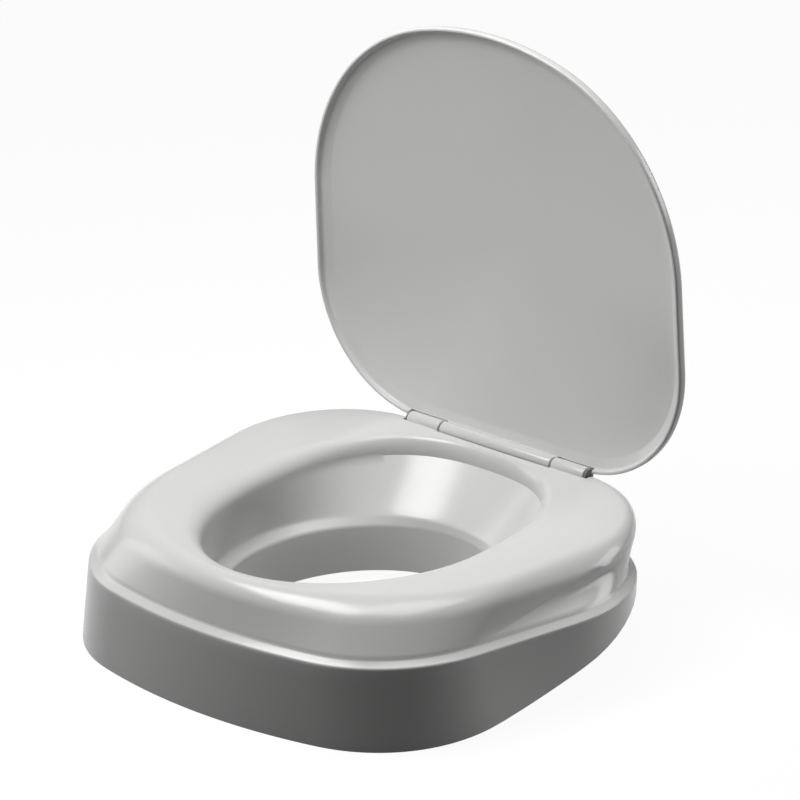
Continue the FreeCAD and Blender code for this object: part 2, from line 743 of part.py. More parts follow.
# Hand knobs: a grooved disc on a hub. The grooves are one cut repeated round the rim.
for word, side in SIDES.items():
    body = doc.addObject("PartDesign::Body", f"Knob_{word}")
    disc_sketch = sketch_on(body, f"KnobDisc_{word}", "XY_Plane")
    add_circle(disc_sketch, 0, 0, size("knob_radius"), (None, None, "Sizes.knob_radius"))
    disc_sketch.addConstraint(Sketcher.Constraint("Coincident", 0, 3, -1, 1))
    disc = body.newObject("PartDesign::Pad", f"KnobDiscPad_{word}")
    disc.Profile = disc_sketch
    disc.setExpression("Length", "Sizes.knob_height")
    hub_sketch = sketch_on(body, f"KnobHub_{word}", "XY_Plane")
    add_circle(hub_sketch, 0, 0, size("knob_hub_radius"), (None, None, "Sizes.knob_hub_radius"))
    hub_sketch.addConstraint(Sketcher.Constraint("Coincident", 0, 3, -1, 1))
    hub = body.newObject("PartDesign::Pad", f"KnobHubPad_{word}")
    hub.Profile = hub_sketch
    hub.setExpression("Length", "Sizes.knob_height + Sizes.knob_hub_height")
    doc.recompute()
    volume = body.Shape.Volume
    bore_sketch = sketch_on(body, f"KnobBore_{word}", "XY_Plane")
    add_circle(bore_sketch, 0, 0, size("screw_radius"), (None, None, "Sizes.screw_radius"))
    bore_sketch.addConstraint(Sketcher.Constraint("Coincident", 0, 3, -1, 1))
    bore_sketch.setExpression("AttachmentOffset.Base.z", "Sizes.knob_floor")
    bore = body.newObject("PartDesign::Pocket", f"KnobBoreCut_{word}")
    bore.Profile = bore_sketch
    bore.Type = "ThroughAll"
    bore.Reversed = True
    groove_sketch = sketch_on(body, f"KnobGroove_{word}", "XY_Plane")
    add_circle(
        groove_sketch, size("knob_radius") + size("knob_groove_offset"), 0, size("knob_groove_radius"),
        ("Sizes.knob_radius + Sizes.knob_groove_offset", None, "Sizes.knob_groove_radius"),
    )
    groove_sketch.addConstraint(Sketcher.Constraint("PointOnObject", 0, 3, -1))
    groove = body.newObject("PartDesign::Pocket", f"KnobGrooveCut_{word}")
    groove.Profile = groove_sketch
    groove.Type = "ThroughAll"
    groove.Reversed = True
    grooves = body.newObject("PartDesign::PolarPattern", f"KnobGrooves_{word}")
    grooves.Originals = [groove]
    axis = next(o for o in body.Origin.OriginFeatures if o.Role == "Z_Axis")
    grooves.Axis = (axis, [""])
    grooves.Angle = 360
    grooves.setExpression("Occurrences", "Sizes.knob_groove_count")
    body.Tip = grooves
    doc.recompute()
    if body.Shape.Volume >= volume:
        raise RuntimeError("the knob's cuts cut nothing")
    place(body, side * screw_x, 0, washer_low - size("knob_hub_height") - size("knob_height"))
    keep(body, f"bracket_knob_{word}")


# ---------------------------------------------------------------------------------------------
# Checks, then one file for each piece.

doc.recompute()
for feature in doc.Objects:
    if "Invalid" in feature.State or "Error" in feature.State:
        raise RuntimeError(f"{feature.Name} failed: {feature.State}")
os.makedirs("parts", exist_ok=True)
for feature in nodes:
    shape = feature.Shape
    if shape.isNull() or not shape.isValid() or not shape.Solids:
        raise RuntimeError(f"{feature.Label} has no valid solid")
for feature in nodes:
    feature.Shape.exportStep(f"parts/{feature.Label}.step")
print(f"{len(nodes)} pieces written")
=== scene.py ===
import json
import math

import bmesh
import bpy
import numpy as np
from mathutils import Matrix, Vector


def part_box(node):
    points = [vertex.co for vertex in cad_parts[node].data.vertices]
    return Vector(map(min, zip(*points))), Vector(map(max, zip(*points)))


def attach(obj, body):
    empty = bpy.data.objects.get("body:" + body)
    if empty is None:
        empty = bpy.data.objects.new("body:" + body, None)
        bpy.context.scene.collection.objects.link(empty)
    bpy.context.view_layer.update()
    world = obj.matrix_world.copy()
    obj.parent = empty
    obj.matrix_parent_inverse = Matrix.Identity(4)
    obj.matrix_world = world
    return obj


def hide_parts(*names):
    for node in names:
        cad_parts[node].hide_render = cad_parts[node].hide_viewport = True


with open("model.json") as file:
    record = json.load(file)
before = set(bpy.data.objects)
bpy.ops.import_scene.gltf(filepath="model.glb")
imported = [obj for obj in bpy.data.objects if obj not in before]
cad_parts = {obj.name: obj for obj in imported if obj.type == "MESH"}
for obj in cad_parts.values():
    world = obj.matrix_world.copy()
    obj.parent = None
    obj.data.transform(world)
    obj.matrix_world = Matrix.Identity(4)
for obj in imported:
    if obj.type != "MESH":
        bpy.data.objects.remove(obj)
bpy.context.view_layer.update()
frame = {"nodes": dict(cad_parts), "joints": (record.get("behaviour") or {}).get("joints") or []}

MM = 0.001

# Seat shell: the outer skin of the one-piece moulding, in glossy pale plastic with a 3 mm wall.
# A skirt with a swept hem, a stepped ledge, slanting walls with a soft facet at each front corner,
# a rounded deck, and a funnel with a ring and a splash collar, all drawn from one mould.
COLUMNS = 240
MIDDLE_Y = -5.0
WALL = 3.0
DECK_TOP = 92.0
LEDGE_TOP = 58.0
LEDGE_STEP = ((0.1, 57.4), (0.5, 58.1), (1.3, 58.6), (5.6, 61.0), (6.5, 61.8), (7.0, 63.0))
DECK_ROLL = 12.0
EDGE_SOFTENING = 0.8
HEM_FLAT_END = -145.0
HEM_REACH = 275.0
HEM_RISE = 70.0
HEM_LIMIT = 54.0
HEM = (190, 183, 125, -167, 98, 106, 445)
LEDGE = (195, 177, 126, -161, 98, 106, 445)
DECK = (172, 164, 150, -142, 88, 115, 190)
FACET_DECK = (72, 105, 136)
FACET_LEDGE = (67, 70.5, 136)
OPENING = (102, -119, 127)
OPENING_SQUARENESS = 2.6
ROLL_WIDTH = ((0, 35, 80, 120, 150, 180), (9.5, 11, 20, 15, 7, 6.5))
ROLL_DEPTH = 13.0
ROLL_STEP = 0.6
RING_TOP = (101, -106, 93, 46)
RING_LOW = (92, -102, 91, 40)
COLLAR_END = (89, -99, 88, 7)


def inset(outline, distance):
    """The rounded D outline moved inwards all round."""
    signs = (-1, -1, -1, 1, -1, -1, -1)
    return tuple(value + sign * distance for value, sign in zip(outline, signs))


def between(first, second, share):
    return tuple(a + share * (b - a) for a, b in zip(first, second))


def arc(centre, radius, start, end):
    angles = np.linspace(start, end, 40)
    return np.c_[centre[0] + radius * np.cos(angles), centre[1] + radius * np.sin(angles)]


def rounded_d(outline):
    """Points round a D: straight rear edge, two rear corners, straight sides, bowed front."""
    half_rear, half_front, rear, front, rear_radius, corner_radius, front_radius = outline
    rear_centre = np.array((half_rear - rear_radius, rear - rear_radius))
    front_centre = np.array((0, front + front_radius))
    corner_x = half_front - corner_radius
    drop = math.sqrt((front_radius - corner_radius) ** 2 - corner_x**2)
    corner_centre = np.array((corner_x, front_centre[1] - drop))
    along = rear_centre - corner_centre
    turn = math.acos((corner_radius - rear_radius) / math.hypot(*along))
    side = math.atan2(along[1], along[0]) - turn
    out = corner_centre - front_centre
    nose = math.atan2(out[1], out[0])
    half = np.concatenate([
        arc(front_centre, front_radius, -math.pi / 2, nose),
        arc(corner_centre, corner_radius, nose, side),
        arc(rear_centre, rear_radius, side, math.pi / 2),
    ])
    loop = np.concatenate([half, (half * (-1, 1))[::-1]])
    steps = np.hypot(*np.diff(loop, axis=0).T)
    length = np.r_[0, np.cumsum(steps)]
    even = np.linspace(0, length[-1], 1200)
    return np.c_[np.interp(even, length, loop[:, 0]), np.interp(even, length, loop[:, 1])]


def egg(half_width, front, rear, squareness=2.0):
    """Points round an oval whose rear half is squarer than its front."""
    angles = np.linspace(-math.pi, math.pi, 721)[:-1]
    middle, depth = (front + rear) / 2, (rear - front) / 2
    power = np.where(np.sin(angles) > 0, 2 / squareness, 1.0)
    x = half_width * np.sign(np.cos(angles)) * np.abs(np.cos(angles)) ** power
    y = middle + depth * np.sign(np.sin(angles)) * np.abs(np.sin(angles)) ** power
    return np.c_[x, y]


def seen_from_middle(points, columns, height, middle=MIDDLE_Y):
    """The outline's points in the direction of each column, which counts from the front."""
    angles = np.arctan2(points[:, 0], middle - points[:, 1])
    radii = np.hypot(points[:, 0], points[:, 1] - middle)
    order = np.argsort(angles)
    radius = np.interp(columns, angles[order], radii[order], period=2 * math.pi)
    flat = np.c_[radius * np.sin(columns), middle - radius * np.cos(columns)]
    return np.c_[flat, np.full(len(columns), height)]


deck_columns = np.linspace(-math.pi, math.pi, COLUMNS, endpoint=False)
low_columns = np.sign(deck_columns) * np.interp(
    np.abs(deck_columns),
    np.radians((0, *FACET_DECK, 180)),
    np.radians((0, *FACET_LEDGE, 180)),
)


def hem_height(y):
    """The hem is flat at the front, sweeps up to the rear in one arc and levels out there."""
    sweep = (HEM_REACH**2 + HEM_RISE**2) / (2 * HEM_RISE)
    run = np.clip(y - HEM_FLAT_END, 0, None)
    height = sweep - np.sqrt(sweep**2 - run**2)
    return height / (1 + (height / HEM_LIMIT) ** 6) ** (1 / 6)


def rows_of_skin():
    """Every row of the skin, from the hem up over the deck and down to the collar's end."""
    rows = []
    hem = seen_from_middle(rounded_d(HEM), low_columns, 0)
    ledge = seen_from_middle(rounded_d(LEDGE), low_columns, LEDGE_TOP)
    bottom = hem_height(ledge[:, 1])
    for share in (0, 0.04, 0.3, 0.6, 0.85, 0.98):
        height = bottom + share * (LEDGE_TOP - 1.2 - bottom)
        rows.append(hem + (ledge - hem) * (height / LEDGE_TOP)[:, None])
    for distance, height in LEDGE_STEP:
        rows.append(seen_from_middle(rounded_d(inset(LEDGE, distance)), low_columns, height))
    shoulder = inset(LEDGE, LEDGE_STEP[-1][0])
    foot = rows[-1]
    span = DECK_TOP - LEDGE_TOP
    roll_start = DECK_TOP - DECK_ROLL
    side = between(shoulder, DECK, (roll_start - LEDGE_TOP) / span)
    head = seen_from_middle(rounded_d(side), deck_columns, roll_start)
    for share in (0.1, 0.3, 0.5, 0.7, 0.9):
        rows.append(foot + share * (head - foot))
    for step in range(10):
        angle = math.pi / 2 * step / 9
        height = roll_start + DECK_ROLL * math.sin(angle)
        outline = between(shoulder, DECK, (height - LEDGE_TOP) / span)
        outline = inset(outline, DECK_ROLL * (1 - math.cos(angle)))
        rows.append(seen_from_middle(rounded_d(outline), deck_columns, height))
    deck_edge = rows[-1]
    width = np.interp(np.degrees(np.abs(deck_columns)), *ROLL_WIDTH)
    blur = np.hanning(21)[1:-1] / np.hanning(21).sum()
    width = np.convolve(np.r_[width[-9:], width, width[:9]], blur, "valid")
    opening = seen_from_middle(egg(*OPENING, OPENING_SQUARENESS), deck_columns, 0)
    outwards = opening - (0, MIDDLE_Y, 0)
    outwards /= np.linalg.norm(outwards, axis=1)[:, None]

    def on_roll(angle):
        place = opening + outwards * (width * (1 - math.cos(angle)))[:, None]
        place[:, 2] = DECK_TOP - ROLL_STEP - ROLL_DEPTH * (1 - math.sin(angle))
        return place

    roll_edge = on_roll(math.pi / 2)
    for share in (0.25, 0.6):
        row = deck_edge + share * (roll_edge - deck_edge)
        rows.append(row)
    for step in range(11):
        rows.append(on_roll(math.pi / 2 * (1 - step / 10)))
    lip = rows[-1]
    ring = seen_from_middle(egg(*RING_TOP[:3]), deck_columns, RING_TOP[3])
    for share in (0.15, 0.4, 0.65, 0.88, 0.97):
        rows.append(lip + share * (ring - lip))
    low = seen_from_middle(egg(*RING_LOW[:3]), deck_columns, RING_LOW[3])
    for share in (0.06, 0.2, 0.8, 0.94):
        drop = ring + share * (low - ring)
        rows.append(drop)
    end = seen_from_middle(egg(*COLLAR_END[:3]), deck_columns, COLLAR_END[3])
    for share in (0.04, 0.35, 0.7, 0.985, 1.0):
        rows.append(low + share * (end - low))
    return rows


def only(piece):
    """Selects one piece alone and makes it the active one."""
    bpy.ops.object.select_all(action="DESELECT")
    piece.select_set(True)
    bpy.context.view_layer.objects.active = piece
    return piece


def skin(name, rows):
    """A tube drawn row by row: a circle whose open edge is extruded once for each further row."""
    bpy.ops.object.select_all(action="DESELECT")
    bpy.ops.mesh.primitive_circle_add(vertices=len(rows[0]), radius=0.1)
    piece = bpy.context.object
    piece.name = piece.data.name = name
    column = piece.data.attributes.new("column", "INT", "POINT")
    column.data.foreach_set("value", np.arange(len(rows[0])))
    bpy.ops.object.mode_set(mode="EDIT")
    bpy.ops.mesh.select_all(action="SELECT")
    for number, row in enumerate(rows):
        if number:
            bpy.ops.mesh.extrude_region_move()
        mesh = bmesh.from_edit_mesh(piece.data)
        layer = mesh.verts.layers.int["column"]
        for vertex in mesh.verts:
            if vertex.select:
                vertex.co = Vector(row[vertex[layer]]) * MM
        bmesh.update_edit_mesh(piece.data)
    bpy.ops.mesh.select_all(action="SELECT")
    bpy.ops.mesh.flip_normals()
    bpy.ops.object.mode_set(mode="OBJECT")
    piece.data.attributes.remove(piece.data.attributes["column"])
    return piece


def applied(piece, kind, **values):
    """Adds a modifier with those values to the piece and applies it."""
    only(piece)
    modifier = piece.modifiers.new(kind.title(), kind)
    for key, value in values.items():
        setattr(modifier, key, value)
    bpy.ops.object.modifier_apply(modifier=modifier.name)
    return piece


def combined(piece, other, operation):
    """Joins, cuts or trims the piece with another, which is used up."""
    applied(piece, "BOOLEAN", operation=operation, object=other, solver="MANIFOLD")
    bpy.data.objects.remove(other)
    return piece


def block(name, low, high, softening=0.0):
    """A block between two corners, with its edges rounded."""
    low, high = Vector(map(min, low, high)), Vector(map(max, low, high))
    bpy.ops.object.select_all(action="DESELECT")
    bpy.ops.mesh.primitive_cube_add(size=1, location=(low + high) / 2 * MM, scale=(high - low) * MM)
    piece = bpy.context.object
    piece.name = piece.data.name = name
    bpy.ops.object.transform_apply()
    if softening:
        bpy.ops.object.mode_set(mode="EDIT")
        bpy.ops.mesh.select_all(action="SELECT")
        bpy.ops.mesh.bevel(offset=softening * MM, segments=3, affect="EDGES")
        bpy.ops.object.mode_set(mode="OBJECT")
    return piece


def rod(name, radius, start, end, softening=0.0, corners=48):
    """A round rod from start to end, with its end edges rounded."""
    bpy.ops.object.select_all(action="DESELECT")
    start, end = Vector(start) * MM, Vector(end) * MM
    turn = (end - start).to_track_quat("Z", "Y").to_euler()
    bpy.ops.mesh.primitive_cylinder_add(
        vertices=corners, radius=radius * MM, depth=(end - start).length,
        location=(start + end) / 2, rotation=turn,
    )
    piece = bpy.context.object
    piece.name = piece.data.name = name
    bpy.ops.object.transform_apply()
    if softening:
        bpy.ops.object.mode_set(mode="EDIT")
        bpy.ops.mesh.select_all(action="DESELECT")
        bpy.ops.mesh.edges_select_sharp(sharpness=math.radians(60))
        bpy.ops.mesh.bevel(offset=softening * MM, segments=3, affect="EDGES")
        bpy.ops.object.mode_set(mode="OBJECT")
    return piece


def joined(pieces, name):
    bpy.ops.object.select_all(action="DESELECT")
    for piece in pieces:
        piece.select_set(True)
    bpy.context.view_layer.objects.active = pieces[0]
    bpy.ops.object.join()
    pieces[0].name = pieces[0].data.name = name
    return pieces[0]


def smoothed(piece, angle=30):
    only(piece)
    bpy.ops.object.shade_smooth_by_angle(angle=math.radians(angle))
    return piece


def moulded_plastic(name, colour, roughness, peel=0.02, mottle=0.03):
    """Gloss moulding: faint flow marks in the colour, and a fine orange-peel in the gloss."""
    material = bpy.data.materials.new(name)
    material.use_nodes = True
    nodes, links = material.node_tree.nodes, material.node_tree.links
    shader = nodes["Principled BSDF"]
    place = nodes.new("ShaderNodeTexCoord")
    flow = nodes.new("ShaderNodeTexNoise")
    flow.inputs["Scale"].default_value = 9
    flow.inputs["Detail"].default_value = 3
    links.new(place.outputs["Object"], flow.inputs["Vector"])
    tint = nodes.new("ShaderNodeValToRGB")
    tint.color_ramp.elements[0].position = 0.3
    tint.color_ramp.elements[1].position = 0.7
    tint.color_ramp.elements[0].color = (*[c * (1 - mottle) for c in colour], 1)
    tint.color_ramp.elements[1].color = (*colour, 1)
    links.new(flow.outputs["Fac"], tint.inputs["Fac"])
    links.new(tint.outputs["Color"], shader.inputs["Base Color"])
    cloud = nodes.new("ShaderNodeTexNoise")
    cloud.inputs["Scale"].default_value = 40
    cloud.inputs["Detail"].default_value = 4
    links.new(place.outputs["Object"], cloud.inputs["Vector"])
    gloss = nodes.new("ShaderNodeMapRange")
    gloss.inputs["To Min"].default_value = roughness * 0.85
    gloss.inputs["To Max"].default_value = roughness * 1.15
    links.new(cloud.outputs["Fac"], gloss.inputs["Value"])
    links.new(gloss.outputs["Result"], shader.inputs["Roughness"])
    grain = nodes.new("ShaderNodeTexNoise")
    grain.inputs["Scale"].default_value = 900
    links.new(place.outputs["Object"], grain.inputs["Vector"])
    bump = nodes.new("ShaderNodeBump")
    bump.inputs["Strength"].default_value = peel
    bump.inputs["Distance"].default_value = 0.0004
    links.new(grain.outputs["Fac"], bump.inputs["Height"])
    links.new(bump.outputs["Normal"], shader.inputs["Normal"])
    shader.inputs["IOR"].default_value = 1.5
    return material


def finish_with(piece, material):
    piece.data.materials.clear()
    piece.data.materials.append(material)
    return piece


shell_plastic = moulded_plastic("shell_plastic", (0.80, 0.80, 0.79), 0.22)
shell = skin("seat_shell_skin", rows_of_skin())
only(shell)
bpy.ops.object.duplicate()
core = bpy.context.object
core.name = "core"
bpy.ops.object.mode_set(mode="EDIT")
bpy.ops.mesh.select_all(action="DESELECT")
bpy.ops.mesh.select_non_manifold()
bpy.ops.mesh.bridge_edge_loops()
bpy.ops.mesh.select_all(action="SELECT")
bpy.ops.mesh.normals_make_consistent(inside=False)
bpy.ops.transform.shrink_fatten(value=-WALL / 2 * MM)
bpy.ops.object.mode_set(mode="OBJECT")
applied(shell, "SOLIDIFY", thickness=WALL * MM, offset=-1)
shell.data.materials.clear()


def trimmed(piece):
    """Cuts the piece back to the middle of the skin's wall, where it is moulded to the skin."""
    applied(piece, "BOOLEAN", operation="INTERSECT", object=core, solver="MANIFOLD")
    return piece


# Hinge end of the shell: a solid web under the deck's rear edge, with a notch for the lid's
# knuckle and a round lug at each side of it, bored for a pin. It is moulded with the shell.
HINGE_Y, HINGE_Z = (value / MM for value in frame["joints"][0]["pos_m"][1:])
KNUCKLE_RADIUS = 5.5
KNUCKLE_END = 52.0
HINGE_CLEARANCE = 1.0
LUG_START, LUG_END = 53.5, 83.5
POCKET_END = 87.0
BORE_RADIUS = 3.05
POCKET_RADIUS = 5.25
DECK_REAR = 150.0
notch_front = HINGE_Y - KNUCKLE_RADIUS - HINGE_CLEARANCE
notch_low = HINGE_Z - KNUCKLE_RADIUS - HINGE_CLEARANCE
web_end = POCKET_END + WALL
web = block("web", (-web_end, notch_front - WALL, notch_low - WALL), (web_end, DECK_REAR, DECK_TOP))
shell = combined(shell, trimmed(web), "UNION")
for side in (-1, 1):
    lug = rod(
        "lug", KNUCKLE_RADIUS, (side * LUG_START, HINGE_Y, HINGE_Z), (side * LUG_END, HINGE_Y, HINGE_Z), 0.8,
    )
    shell = combined(shell, lug, "UNION")
    pocket_end = (side * POCKET_END, HINGE_Y, HINGE_Z)
    bore = rod("bore", BORE_RADIUS, (side * KNUCKLE_END, HINGE_Y, HINGE_Z), pocket_end)
    shell = combined(shell, bore, "DIFFERENCE")
    pocket = rod("pocket", POCKET_RADIUS, (side * LUG_END, HINGE_Y, HINGE_Z), pocket_end)
    shell = combined(shell, pocket, "DIFFERENCE")
notch = block(
    "notch",
    (-LUG_START, notch_front, notch_low),
    (LUG_START, DECK_REAR + WALL, DECK_TOP + KNUCKLE_RADIUS + WALL),
)
shell = combined(shell, notch, "DIFFERENCE")
finish_with(smoothed(shell, 40), shell_plastic)
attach(shell, "base")
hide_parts("seat_shell")

# Ribs and feet: four radial ribs under the deck, each with a flat foot that a rubber pad is
# pushed into. They are part of the same moulding and carry the load down to the bowl.
RIB_THICKNESS = 5.0
RIB_ROOT = 90.0
FOOT = (46.0, 22.0, 3.0)
FOOT_LOW = 24.0
STEM_HOLE = 3.3
rest_pads = [name for name in sorted(frame["nodes"]) if name.startswith("rest_pad")]
ribs, feet = [], []
for name in rest_pads:
    low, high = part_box(name)
    x, y = (low.x + high.x) / 2 / MM, (low.y + high.y) / 2 / MM
    side = math.copysign(1, x)
    ribs.append(block(
        "rib",
        (side * RIB_ROOT, y - RIB_THICKNESS / 2, FOOT_LOW + FOOT[2] / 2),
        (x + side * FOOT[0] / 2, y + RIB_THICKNESS / 2, DECK_TOP),
    ))
    feet.append(block(
        "foot",
        (x - FOOT[0] / 2, y - FOOT[1] / 2, FOOT_LOW),
        (x + FOOT[0] / 2, y + FOOT[1] / 2, FOOT_LOW + FOOT[2]),
        EDGE_SOFTENING,
    ))
ribs = trimmed(joined(ribs, "ribs"))
feet = joined(feet, "feet")
for name in rest_pads:
    low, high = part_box(name)
    middle = (low + high) / 2 / MM
    for end in (-1, 1):
        x, y = middle.x + end * FOOT[0] / 4, middle.y + FOOT[1] / 4
        hole = rod("hole", STEM_HOLE, (x, y, FOOT_LOW - WALL), (x, y, FOOT_LOW + 2 * WALL))
        feet = combined(feet, hole, "DIFFERENCE")
ribs = joined([ribs, feet], "seat_ribs_and_feet")
finish_with(smoothed(ribs), shell_plastic)
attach(ribs, "base")

# Bracket rails: two hooked rails on each side hold a sliding bracket, and a boss between them
# takes the square nut from the side. They are part of the same moulding.
RAIL_HALF_GAP = 13.3
RAIL_THICKNESS = 3.0
RAIL_LOW = 50.7
RAIL_START, RAIL_END = 102.0, 164.0
LIP_START = 127.0
LIP_WIDTH = 4.0
BOSS_HALF = 9.0
BOSS_LOW = 57.3
SCREW_HOLE = 3.3
NUT_ROOM = (5.3, 5.3)
NUT_PLAY = 0.3
screw_low, screw_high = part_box("bracket_screw_right")
nut_low, nut_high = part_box("bracket_nut_right")
screw_x = (screw_low.x + screw_high.x) / 2 / MM
rails, lips = [], []
for side in (-1, 1):
    for edge in (-1, 1):
        rails.append(block(
            "rail",
            (side * RAIL_START, edge * RAIL_HALF_GAP, RAIL_LOW),
            (side * RAIL_END, edge * (RAIL_HALF_GAP + RAIL_THICKNESS), DECK_TOP),
        ))
        lips.append(block(
            "lip",
            (side * LIP_START, edge * (RAIL_HALF_GAP - LIP_WIDTH), RAIL_LOW),
            (
                side * (RAIL_END - RAIL_THICKNESS),
                edge * (RAIL_HALF_GAP + RAIL_THICKNESS / 2),
                RAIL_LOW + RAIL_THICKNESS,
            ),
            EDGE_SOFTENING / 2,
        ))
    rails.append(block(
        "boss",
        (side * screw_x - BOSS_HALF, -RAIL_HALF_GAP, BOSS_LOW),
        (side * screw_x + BOSS_HALF, RAIL_HALF_GAP, DECK_TOP),
    ))
rails = trimmed(joined(rails, "rails"))
for side in (-1, 1):
    hole_top = (side * screw_x, 0, DECK_TOP - 2 * WALL)
    hole = rod("hole", SCREW_HOLE, (side * screw_x, 0, BOSS_LOW - WALL), hole_top)
    rails = combined(rails, hole, "DIFFERENCE")
    room = block(
        "room",
        (side * screw_x - NUT_ROOM[0], -NUT_ROOM[1], nut_low.z / MM),
        (side * screw_x + NUT_ROOM[0], RAIL_HALF_GAP + 2 * RAIL_THICKNESS, nut_high.z / MM + NUT_PLAY),
    )
    rails = combined(rails, room, "DIFFERENCE")
rails = joined([rails, *lips], "bracket_rails")
finish_with(smoothed(rails), shell_plastic)
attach(rails, "base")
bpy.data.objects.remove(core)

# Rest pads: four soft rubber blocks with grooved soles and two stems each. The stems are pushed
# up through the holes in the feet, and the seat stands on the bowl on them.
PAD_BLOCK = 4.0
PAD_CORNER = 3.0
STEM_RADIUS = 3.0
GROOVE = (1.2, 0.7)
GROOVE_STEP = 4.2


def rounded_block(name, low, high, corner, softening):
    """A block whose upright corners are well rounded and whose other edges are softened."""
    piece = block(name, low, high)
    bpy.ops.object.mode_set(mode="EDIT")
    bpy.ops.mesh.select_all(action="DESELECT")
    mesh = bmesh.from_edit_mesh(piece.data)
    for edge in mesh.edges:
        first, second = (vertex.co for vertex in edge.verts)
        edge.select_set(abs(first.z - second.z) > abs(first.x - second.x) + abs(first.y - second.y))
    bmesh.update_edit_mesh(piece.data)
    bpy.ops.mesh.bevel(offset=corner * MM, segments=6, affect="EDGES")
    bpy.ops.object.mode_set(mode="OBJECT")
    return applied(
        piece, "BEVEL", width=softening * MM, segments=3, limit_method="ANGLE", angle_limit=math.radians(50),
    )


def satin(name, colour, roughness, grain_scale, grain_depth, gloss=0.5):
    """Satin plastic or rubber: a spark-eroded grain in the relief and in the sheen."""
    material = moulded_plastic(name, colour, roughness, grain_depth, 0.12)
    for node in material.node_tree.nodes:
        if node.type == "TEX_NOISE" and node.inputs["Scale"].default_value > 500:
            node.inputs["Scale"].default_value = grain_scale
            node.inputs["Detail"].default_value = 6
    material.node_tree.nodes["Principled BSDF"].inputs["Specular IOR Level"].default_value = gloss
    return material


rubber = satin("rubber", (0.035, 0.035, 0.037), 0.62, 1500, 0.25, 0.3)
for name in rest_pads:
    low, high = (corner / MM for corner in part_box(name))
    top = (high.x, high.y, low.z + PAD_BLOCK)
    pad = rounded_block(name + "_sole", low, top, PAD_CORNER, 0.6)
    x = low.x + GROOVE_STEP
    while x < high.x - GROOVE_STEP / 2:
        groove = block(
            "groove", (x - GROOVE[0] / 2, low.y - WALL, low.z - WALL),
            (x + GROOVE[0] / 2, high.y + WALL, low.z + GROOVE[1]),
        )
        pad = combined(pad, groove, "DIFFERENCE")
        x += GROOVE_STEP
    middle = (low + high) / 2
    for end in (-1, 1):
        x, y = middle.x + end * FOOT[0] / 4, middle.y + FOOT[1] / 4
        stem = rod("stem", STEM_RADIUS, (x, y, low.z + PAD_BLOCK / 2), (x, y, high.z), 0.5)
        pad = combined(pad, stem, "UNION")
    finish_with(smoothed(pad), rubber)
    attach(pad, "base")
    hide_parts(name)

# Lid: a thin domed dish moulded in the same plastic, with a narrow upright lip, a sloping band
# inside it and a knuckle along its hinge edge. It turns on two pins and stands open at rest.
LID = (171, 170, 139.9, -165.6, 95, 147, 232)
LID_COLUMNS = 224
LID_MIDDLE = -13.0
LID_RIM_Y = HINGE_Y + 0.8
DISH_DEPTH = 23.0
BACK_DEPTH = 26.0
PANEL_INSET = 11.0
PANEL_EDGE = 6.7
BACK_EDGE = 10.0
PANEL_SHARES = (0.05, 0.15, 0.3, 0.45, 0.6, 0.72, 0.82, 0.9, 0.96, 1.0)
BORE_DEPTH = 17.0
lid_columns = np.linspace(-math.pi, math.pi, LID_COLUMNS, endpoint=False)


def lid_row(distance, depth, share=1.0):
    """A row of the lid at a distance in from its outline and a depth behind its rim."""
    plan = seen_from_middle(rounded_d(inset(LID, distance)), lid_columns, 0, LID_MIDDLE)
    plan = (plan - (0, LID_MIDDLE, 0)) * share + (0, LID_MIDDLE, 0)
    return np.c_[plan[:, 0], np.full(len(plan), LID_RIM_Y + depth), HINGE_Z + HINGE_Y - plan[:, 1]]


def lid_rows():
    rows = []
    for share in PANEL_SHARES:
        rows.append(lid_row(PANEL_INSET, PANEL_EDGE + (DISH_DEPTH - PANEL_EDGE) * (1 - share**2), share))
    for distance, depth in (
        (10.3, 6.5), (9.4, 6.1), (8.0, 5.5), (5.0, 4.2), (3.9, 3.7), (3.2, 3.1), (2.9, 2.4),
        (2.7, 0.8), (2.5, 0.3), (2.0, 0.0), (0.9, 0.0), (0.35, 0.2), (0.05, 0.7), (0.0, 2.0), (0.0, 4.4),
        (0.25, 5.6), (1.0, 6.7), (2.4, 7.6), (5.0, 8.5), (8.0, 9.3),
    ):
        rows.append(lid_row(distance, depth))
    for share in reversed(PANEL_SHARES):
        rows.append(lid_row(PANEL_INSET, BACK_EDGE + (BACK_DEPTH - BACK_EDGE) * (1 - share**2), share))
    return rows


def closed(piece, rows, axis=1):
    """Draws both open ends of the tube together to a point and turns its faces outwards."""
    only(piece)
    bpy.ops.object.mode_set(mode="EDIT")
    for row in (rows[0], rows[-1]):
        height = row[:, axis].mean() * MM
        bpy.ops.mesh.select_all(action="DESELECT")
        mesh = bmesh.from_edit_mesh(piece.data)
        for vertex in mesh.verts:
            vertex.select = bool(vertex.is_boundary and abs(vertex.co[axis] - height) < 1e-5)
        bmesh.update_edit_mesh(piece.data)
        bpy.ops.mesh.merge(type="CENTER")
    bpy.ops.mesh.select_all(action="SELECT")
    bpy.ops.mesh.normals_make_consistent(inside=False)
    bpy.ops.object.mode_set(mode="OBJECT")
    return piece


